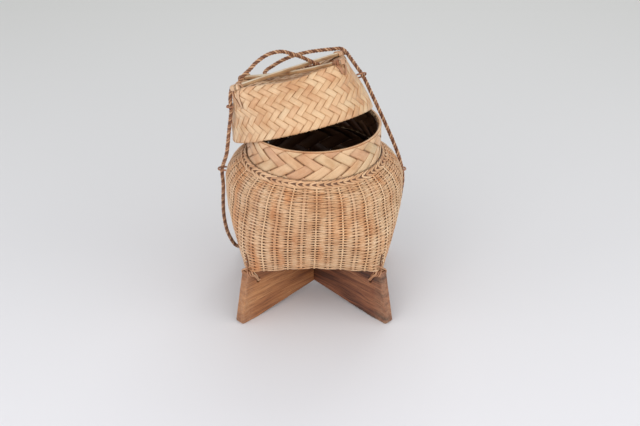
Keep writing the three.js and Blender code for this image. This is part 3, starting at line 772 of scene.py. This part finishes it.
def stakes():
    """Narrow pale stakes and broad brown ones by turns, bulging out between the wefts that cross them."""
    heights = weft_rows()[0]
    row = np.arange(-0.5, len(heights) - 0.4, 0.25)
    z = np.interp(row, np.arange(len(heights)), heights)
    narrow, broad = Strips(), Strips()
    for k in range(STAKES):
        share = stake_share(np.full_like(z, k), z)
        bulge = -STAKE_BULGE * np.cos(np.pi * (row + k))
        strips, width, out = (narrow, NARROW_STAKE, -0.05) if k % 2 else (broad, BROAD_STAKE, -0.15)
        normals = outer.normal(share, z)
        lay_strip(strips, outer.at(share, z, out + bulge), normals, width, STAKE_THICKNESS, SPLIT)
    narrow.piece("stakes_narrow", rib_finish, "basket", "bamboo_weave")
    broad.piece("stakes_broad", stake_finish, "basket", "bamboo_weave")


def inside_square(x, y, half, radius):
    """Whether points lie inside a rounded square."""
    ax, ay = np.abs(x), np.abs(y)
    corner = (ax > half - radius) & (ay > half - radius)
    rounded = np.hypot(ax - half + radius, ay - half + radius) <= radius
    return (ax <= half) & (ay <= half) & (~corner | rounded)


def plait(strips, height, over, half, radius, turn, pitch, thickness, place=np.asarray):
    """A flat weave over a rounded square. height gives its middle surface, and over which way is on top."""
    far = half * 1.45
    count = int(far / pitch) + 1
    c, s = math.cos(math.radians(turn)), math.sin(math.radians(turn))
    normal = place([[0, 0, 1.0]]) - place(np.zeros((1, 3)))
    for family in (0, 1):
        for i in range(-count, count + 1):
            t = np.arange(-far, far, pitch / 4)
            line = np.full_like(t, i * pitch)
            a, b = (line, t) if family else (t, line)
            x, y = a * c - b * s, a * s + b * c
            keep = inside_square(x, y, half, radius)
            if keep.sum() < 5:
                continue
            x, y, t = x[keep], y[keep], t[keep]
            wave = over(family, i, t / pitch)
            points = place(np.stack([x, y, height(x, y) + wave * thickness * 0.55], -1))
            normals = np.tile(normal, (len(points), 1))
            # Painted shade where a strip dives under the other.
            shade = (0.75 + 0.25 * wave)[:, None]
            lay_strip(strips, points, normals, pitch * 0.95, thickness, shade=shade)


def plain_over(family, i, t):
    """Which way is on top where strips go over one and under one."""
    return np.clip(1.4 * np.cos(np.pi * (t + i)), -1, 1) * (1 if family else -1)


def twill_over(family, i, t):
    """Which way is on top where strips go over two and under two."""
    return np.clip(1.5 * np.cos(np.pi / 2 * (t + i - 0.5)), -1, 1) * (1 if family else -1)


def dished(half, middle, corner_rise, side_rise):
    """The height over a square that rises from its middle to its corners, and more or less to its sides."""
    def height(x, y):
        reach = np.maximum(np.abs(x), np.abs(y)) / half
        return middle + (corner_rise + side_rise * np.cos(2 * np.arctan2(y, x)) ** 2) * reach**2
    return height


def outer_bottom():
    strips = Strips()
    height = dished(BOTTOM_HALF, BOTTOM_Z + 0.9, 0, BOTTOM_ARCH)
    plait(strips, height, plain_over, half=78.6, radius=14, turn=0, pitch=6.2, thickness=0.8)
    strips.piece("outer_bottom", stake_finish, "basket", "bamboo_weave")


wefts()
stakes()
outer_bottom()


# Twill of slanting strips on a wall
class Profile(Wall):
    """A wall with an outline of (half width, corner share, height), measured up by the outline's length."""

    up_step = 0.7

    def __init__(self, points, lift=None):
        self.half, self.corner, self.z = np.array(points, float).T
        self.s = summed(np.hypot(np.diff(self.half), np.diff(self.z)))
        self.lift = lift or (lambda share, height: 0)

    def size(self, up):
        return np.interp(up, self.s, self.half), np.interp(up, self.s, self.corner)

    def height(self, up):
        return np.interp(up, self.s, self.z)

    def girth(self, up):
        half, corner = self.size(up)
        return 8 * half * (1 - corner) + 2 * np.pi * half * corner


TWILL_SECTION = [
    (-0.5, -0.5), (0.0, -0.5), (0.5, -0.5), (0.5, 0.35), (0.25, 0.5), (-0.25, 0.5), (-0.5, 0.35)]
TWILL_STRAY = 0.03


def twill(strips, profile, count, slant, thickness, swing, shift=0.0, turn=0.0, base_out=0.0,
          place=np.asarray, fine=3, fill=(0.87, 0.97), dark=0.5):
    """Two families of slanting strips, each over two and under two of the other, in level rows.

    shift moves the rows up the wall and turn moves the strips round it. Strips differ a little in
    width and place: fill is how much of its room the narrowest and the widest strip take.
    """
    rise = math.tan(math.radians(slant)) / (2 * count)
    at_row, s = [0.0], [0.0]
    while s[-1] < profile.s[-1]:
        s.append(s[-1] + profile.girth(s[-1]) * rise / 8)
        at_row.append(at_row[-1] + 1 / 8)
    rows = at_row[-1]
    length = profile.girth(0) / count
    v = np.arange(-0.5, rows + 0.5 + 1e-6, 1 / fine)
    for family in (1, -1):
        wave = np.clip(1.5 * np.cos(np.pi / 2 * (v + shift - 0.5)), -1, 1) * family
        # Painted shade where a strip dives under the other.
        shade = np.clip(0.95 + dark * wave, 0.85 - dark, 1)[:, None]
        for i in range(count):
            width = rng.uniform(*fill)
            stray = rng.uniform(-TWILL_STRAY, TWILL_STRAY)
            rings = np.empty((len(v), len(TWILL_SECTION), 3))
            for k, (across, up) in enumerate(TWILL_SECTION):
                delta = across * width
                row = np.clip(v - delta, 0, rows)
                share = turn + (i + stray + delta * family + family * row / 2) / count
                out = base_out + swing * wave + up * thickness
                rings[:, k] = profile.at(share, np.interp(row, at_row, s), out)
            rings = place(rings[:, ::-1] if family > 0 else rings)
            across = [a * length * 0.6 for a, _ in TWILL_SECTION]
            across = across[::-1] if family > 0 else across
            strips.add(rings, v * length * 0.6 + rng.uniform(0, 900), across, rng.uniform(), shade=shade)


def curl(half, z, radius, down):
    """The outline of a round wall's edge folded inwards, from its inside round to its outside."""
    turns = np.linspace(math.pi, 0, 9)
    sign = -1 if down else 1
    return [(half - radius + radius * math.cos(t), 1, z + sign * radius * math.sin(t)) for t in turns]


def ring(radius, z, count):
    """Points round a level ring."""
    return polar(radius, np.linspace(0, 2 * np.pi, count, endpoint=False), z)


LID_STRIPS = 48
LID_EDGE = 1.6
COLLAR_STRIPS = 23
COLLAR_FOOT = 178.0
COLLAR_FOOT_RADIUS = 77.2
MOUTH = 215.2
MOUTH_RADIUS = 76.5
MOUTH_EDGE = 1.3
RIM_RADIUS = 75.7
LINING_DEPTH = 4.6


def lid_weave():
    z = np.linspace(0, LID_TOP_Z, 60)
    half, corner = lid_wall.size(z)
    outside = list(zip(half, corner, z))
    inside = [(h - 2 * LID_EDGE, c, v) for h, c, v in outside][1:10][::-1]
    profile = Profile(inside + curl(half[0], 0, LID_EDGE, down=True)[:-1] + outside, horn_lift)
    strips = Strips()
    twill(strips, profile, LID_STRIPS, slant=44, thickness=0.75, swing=0.45, shift=1, base_out=-0.5,
          place=on_lid, fill=(0.93, 1.0), dark=0.3)
    strips.piece("lid_weave", lid_finish, "lid", "bamboo_twill", replaces=["lid_shell"])


def lid_top():
    strips = Strips()
    height = dished(LID_TOP_HALF, LID_TOP_Z - 0.6 - LID_TOP_DIP, LID_TOP_DIP, -LID_HORN_DROP)
    plait(strips, height, twill_over, half=LID_TOP_HALF - 0.4, radius=9, turn=45, pitch=7.4,
          thickness=0.75, place=on_lid)
    strips.piece("lid_top", lid_finish, "lid", "bamboo_twill")


def collar():
    """The top of the inner basket, and the smooth ring that ends it."""
    share = np.linspace(0, 1, 20)
    half = COLLAR_FOOT_RADIUS - (COLLAR_FOOT_RADIUS - MOUTH_RADIUS) * share
    outside = [(h, 1, z) for h, z in zip(half, COLLAR_FOOT + (MOUTH - COLLAR_FOOT) * share)]
    inside = [(MOUTH_RADIUS - 2 * MOUTH_EDGE, 1, MOUTH - depth) for depth in (2, 4, 6)]
    profile = Profile(outside + curl(MOUTH_RADIUS, MOUTH, MOUTH_EDGE, down=False)[::-1][1:] + inside)
    strips = Strips()
    twill(strips, profile, COLLAR_STRIPS, slant=35, thickness=0.95, swing=0.5, shift=3.06,
          turn=-0.0121, base_out=-0.7, fine=4)
    rim = ring(RIM_RADIUS, MOUTH + 0.9, 120)
    lay_strip(strips, rim, np.tile([0, 0, 1.0], (len(rim), 1)), 2.9, 1.5, ROUNDED, loop=True)
    strips.piece("collar", collar_finish, "basket", "bamboo_twill", replaces=["inner_basket"])


def lining():
    """The inner basket as seen from above, through its mouth, coloured dark with painted shade."""
    z = np.linspace(72, 176, 50)
    half, corner = outer.size(z)
    wall = list(zip(half - LINING_DEPTH, corner, z)) + [(74.6, 1, 180), (73.6, 1, 190), (73.4, 1, 213)]
    strips = Strips()
    twill(strips, Profile(wall, arch_lift), COLLAR_STRIPS, slant=35, thickness=0.9, swing=0.5, fine=2)
    height = dished(BOTTOM_HALF, BOTTOM_Z + 4.4, 0, BOTTOM_ARCH)
    plait(strips, height, twill_over, half=76.4, radius=14, turn=45, pitch=11, thickness=0.9)
    strips.piece("lining", inside_shade_finish, "basket", "bamboo_twill")


# One folded splint of the border: its place round in folds, its height and how far out it lies
BORDER_FOLDS = 66
BORDER_FOLD = [
    (1.5, 0.0, 0.2), (1.0, 0.5, 0.8), (0.52, 1.2, 1.0), (0.16, 2.0, 0.9), (-0.02, 2.9, 0.5),
    (0.18, 3.7, 0.2), (0.6, 4.4, 0.0), (1.15, 5.0, -0.2), (1.75, 5.6, -0.6),
]
FOLD_STRAY = (0.08, 0.25, 0.15)
FOLD_WIDTH = 2.5
BORDER_FOOT = 176.5
BORDER_RADIUS = 84.2
BORDER_LEAN = 0.85

# The height of each hidden ring under the border and how brightly it shows, its painted shade
BED_RINGS = [(-0.3, 0.9), (1.2, 0.3), (2.7, 0.2), (4.2, 0.2), (5.2, 0.3)]
BED_WIDTH = 2.4
BED_RADIUS = BORDER_RADIUS - 0.4
BED_LEAN = BORDER_LEAN + 0.1


def border():
    """The stakes' ends, each folded back on itself over the next ones in a row round the collar's foot."""
    strips = Strips()
    for k in range(BORDER_FOLDS):
        stray = rng.uniform(-1, 1, (len(BORDER_FOLD), 3)) * FOLD_STRAY
        fold = catmull(np.array(BORDER_FOLD) + stray, 4)
        place, up, out = fold.T
        angle = 2 * np.pi * (k + place) / BORDER_FOLDS
        radius = BORDER_RADIUS - BORDER_LEAN * up + out
        taper = np.interp(np.linspace(0, 1, len(fold)), [0, 0.2, 0.75, 1], [0.6, 1, 1, 0.5])
        width = FOLD_WIDTH * rng.uniform(0.85, 1.1) * taper
        lay_strip(strips, polar(radius, angle, BORDER_FOOT + up), polar(1, angle, BORDER_LEAN), width, 0.9)
    strips.piece("border", border_finish, "basket", "bamboo_weave", replaces=["folded_border"])


def border_bed():
    """The ends that lie hidden under the border and close the gap to the collar, darkened with painted
    shade.
    """
    strips = Strips()
    normals = ring(1, BORDER_LEAN, 180)
    for up, shade in BED_RINGS:
        points = ring(BED_RADIUS - BED_LEAN * up, BORDER_FOOT + up, 180)
        lay_strip(strips, points, normals, BED_WIDTH, 1.0, loop=True, shade=shade)
    strips.piece("border_bed", border_finish, "basket", "bamboo_weave")


lid_weave()
lid_top()
collar()
lining()
border()
border_bed()


# Slats and lashings
CORNERS = {
    "back_right": math.pi / 4, "back_left": 3 * math.pi / 4,
    "front_left": 5 * math.pi / 4, "front_right": 7 * math.pi / 4,
}
SLAT_REACH = 88.5
SLAT_WIDTH = 9
SLAT_THICKNESS = 4
SLAT_END_HEIGHT = 62.9
SLAT_MIDDLES = {"lower": ("front_right", 59.4), "upper": ("back_right", 63.5)}
SLAT_NODES = (-0.62, -0.05, 0.5)
NODE_SWELL = 0.09
NODE_REACH = 0.025
SLAT_END = (SLAT_REACH, 0, SLAT_END_HEIGHT)
PLANK_HEIGHT = 64.5
PLANK_END = (111.9, 0, PLANK_HEIGHT)
LASH_HOLE = (95.9, 0, 49)
SPLINT = 0.8

# Where each splint wound over a slat's end begins and where it stops, from the slat's end
SLAT_WINDINGS = [(-8.8, -1.6), (-1.8, -8.6), (-5.8, -4), (-10.8, -10)]

# Splints through a plank's hole: how far out they hang, how far in they cross the top, and their width
PLANK_WINDINGS = [(0.9, 1.8, 1.6), (-1.3, 5.2, 2.6), (0.4, 8.6, 1.6)]

# The length and tone of the splint ends on the lid's corners
FRONT_LEFT_TAILS = (21, 0.75)
OTHER_TAILS = (12, 0.3)
LID_GIRTH = 520
UPRIGHT_FOOT = PLANK_HEIGHT + 3
UPRIGHT_LENGTH = 20.5


def diagonal(turn):
    return np.array([math.cos(turn), math.sin(turn), 0.0])


def corner_places(turn, places):
    """Points from their reach along a corner's diagonal, their place across it and their height."""
    reach, across, height = np.asarray(places, float).T
    return (reach[:, None] * diagonal(turn) + across[:, None] * diagonal(turn + math.pi / 2)
            + height[:, None] * [0, 0, 1])


def slats():
    for name, (corner, middle) in SLAT_MIDDLES.items():
        place = np.linspace(-1, 1, 49)
        height = SLAT_END_HEIGHT + (middle - SLAT_END_HEIGHT) * (1 - place**2)
        points = diagonal(CORNERS[corner]) * place[:, None] * SLAT_REACH + height[:, None] * [0, 0, 1]
        normals = np.tile(LID_TURN[:, 2], (len(points), 1))
        from_node = np.abs(place[:, None] - SLAT_NODES).min(axis=1)
        nodes = 1 + NODE_SWELL * np.exp(-(from_node / NODE_REACH) ** 2)
        strips = Strips()
        lay_strip(strips, on_lid(points), normals, SLAT_WIDTH * nodes, SLAT_THICKNESS * nodes, ROUNDED)
        strips.piece(f"slat_{name}", slat_finish, "lid", "bamboo_slat", replaces=[f"lid_slat_{name}"])


def lay_round(strips, origin, places, turn, middle, width, thickness, place=np.asarray):
    """A splint laid through places given from the origin, its back to the middle of what it goes round."""
    points = even(catmull(corner_places(turn, np.add(places, origin)), 6), 0.8)
    centre = corner_places(turn, [middle])[0]
    lay_strip(strips, place(points), place(points) - place(centre), width, thickness)


def lid_binding(corner, turn):
    """Splints wound and folded over the end of a slat, and two ends that lie down the corner of the lid."""
    strips = Strips()
    side, top, low = SLAT_WIDTH / 2 + 1.2, 2.3, -2.6
    middle = (SLAT_REACH - 6, 0, SLAT_END_HEIGHT)
    for start, end in SLAT_WINDINGS:
        across = [
            (start, -side, low), (start, -side - 0.3, 0),
            (start * 0.8 + end * 0.2, -side + 1.4, top), (start * 0.2 + end * 0.8, side - 1.4, top),
            (end, side + 0.3, 0), (end, side, low),
        ]
        lay_round(strips, SLAT_END, across, turn, middle, 2.6 * rng.uniform(0.9, 1.15), SPLINT, on_lid)
    folded = [(-8, 0, top + 0.5), (-2, 0, top + 0.5), (0.4, 0, 1.4), (0.6, 0, -1), (0.2, 0, low - 0.6)]
    lay_round(strips, SLAT_END, folded, turn, middle, 7.4, 0.7, on_lid)
    length, tone = FRONT_LEFT_TAILS if corner == "front_left" else OTHER_TAILS
    low_end = LID_TOP_Z - length
    for sign, width in ((-1, 4.6), (1, 3.6)):
        z = np.linspace(LID_TOP_Z - 0.6, low_end - sign, 10)
        share = turn / (2 * math.pi) + sign * np.linspace(5.2, 1.9, 10) / LID_GIRTH
        normals = lid_wall.normal(share, z) @ LID_TURN.T
        taper = np.interp(z, [low_end, LID_TOP_Z - 8], [0.8, 1])
        points = on_lid(lid_wall.at(share, z, 0.9 + 0.2 * sign))
        lay_strip(strips, points, normals, width * taper, SPLINT, tone=tone + 0.12 * sign)
    strips.piece(
        f"lid_binding_{corner}", binding_finish, "lid", "splint", replaces=[f"lid_lashing_{corner}"])


def plank_binding(corner, turn):
    """Splints from a hole in the plank over its shoulder, and two that cross on the basket's corner."""
    strips = Strips()
    side = PLANK_HALF + 0.9
    end, top = np.subtract(PLANK_END, LASH_HOLE)[[0, 2]]
    middle = np.add(PLANK_END, LASH_HOLE) / 2
    for out, back, width in PLANK_WINDINGS:
        over = end - back
        face = [
            (out, 2, 0), (out, side - 1, 0.2), (out + 1.6, side + 0.2, 1.4),
            (over / 2, side, (top + 1) / 2), (over, side + 0.1, top - 2), (over, side - 1.4, top + 1),
            (over, 0, top + 1.5),
        ]
        other = [(reach, -across, height) for reach, across, height in face[:-1]][::-1]
        lay_round(strips, LASH_HOLE, face + other, turn, middle, width * rng.uniform(0.9, 1.1), 0.9)
    for sign in (-1, 1):
        cross = [
            (-1, sign * side, -4), (0.4, sign * 4.4, 1.2), (-3.4, 0, 4.4 + sign * 0.5),
            (-5, -sign * 4.6, 8), (-8, -sign * 7.6, 8.6),
        ]
        lay_round(strips, PLANK_END, cross, turn, (90, 0, PLANK_HEIGHT), 1.9, 0.9)
    strips.piece(
        f"plank_binding_{corner}", binding_finish, "basket", "splint", replaces=[f"plank_lashing_{corner}"])


def upright(corner, turn):
    """The dark splint that rises from the binding up the corner of the basket."""
    strips = Strips()
    z = np.linspace(UPRIGHT_FOOT, UPRIGHT_FOOT + UPRIGHT_LENGTH, 12)
    share = np.full_like(z, turn / (2 * math.pi))
    lay_strip(strips, outer.at(share, z, 1.2), outer.normal(share, z), 1.4, 1.2)
    strips.piece(f"upright_{corner}", dark_finish, "basket", "splint")


slats()
for corner_name, corner_turn in CORNERS.items():
    lid_binding(corner_name, corner_turn)
    plank_binding(corner_name, corner_turn)
    upright(corner_name, corner_turn)

# The finishes of the solids that show as they are
NODE_FINISHES = {
    "base_plank_left": plank_left_finish, "base_plank_right": plank_right_finish,
    "lid_lining": lid_inside_shade_finish,
    **{f"{on}_cord_loop_{side}": loop_finish for on in ("shoulder", "lid") for side in ("left", "right")},
}
for node, finish in NODE_FINISHES.items():
    materials = bpy.data.objects[node].data.materials
    materials.clear()
    materials.append(finish)


# Floor and light
def floor():
    mesh = bpy.data.meshes.new("floor")
    mesh.from_pydata([(-6, -6, 0), (6, -6, 0), (6, 6, 0), (-6, 6, 0)], [], [(0, 1, 2, 3)])
    n = Nodes("floor")
    # Painted light: the floor lighter in front and darker towards the back.
    depth = n.maths("ADD", n.maths("MULTIPLY", n.parts(n.place())["Y"], 0.6), 0.4)
    color = n.shades(depth, (0.2, 1.0), ((228, 227, 231), (215, 214, 211)))
    mesh.materials.append(n.finish(color, 0.75))
    plane = linked("floor", mesh)


def lamp(name, place, aim_height, size, power, color):
    """An area lamp aimed at this height over the middle of the floor."""
    data = bpy.data.lights.new(name, "AREA")
    data.shape = "RECTANGLE"
    data.size, data.size_y = size
    data.energy = power
    data.color = color
    light = linked(name, data)
    light.location = place
    light.rotation_euler = (Vector((0, 0, aim_height)) - light.location).to_track_quat("-Z", "Y").to_euler()


def world():
    sky = bpy.data.worlds.new("world")
    sky.use_nodes = True
    background = sky.node_tree.nodes["Background"].inputs
    background["Color"].default_value = (0.94, 0.97, 1, 1)
    background["Strength"].default_value = 0.52
    bpy.context.scene.world = sky


floor()
world()
lamp("key", (-0.9, -1.3, 1.9), 0.15, (1.4, 1.4), 8, (1, 0.975, 0.95))
lamp("front", (0, -1.7, 1.0), 0.06, (3.2, 1.0), 18, (1, 0.985, 0.97))
lamp("left", (-1.6, -0.5, 0.8), 0.12, (1.2, 1.0), 5, (1, 0.985, 0.97))
lamp("right", (1.5, -0.6, 0.9), 0.12, (1.4, 1.2), 8.5, (1, 0.985, 0.96))
lamp("back", (0.2, 1.6, 1.6), 0.2, (1.4, 1.0), 10, (0.96, 0.98, 1))
bpy.context.scene.view_settings.view_transform = "Standard"
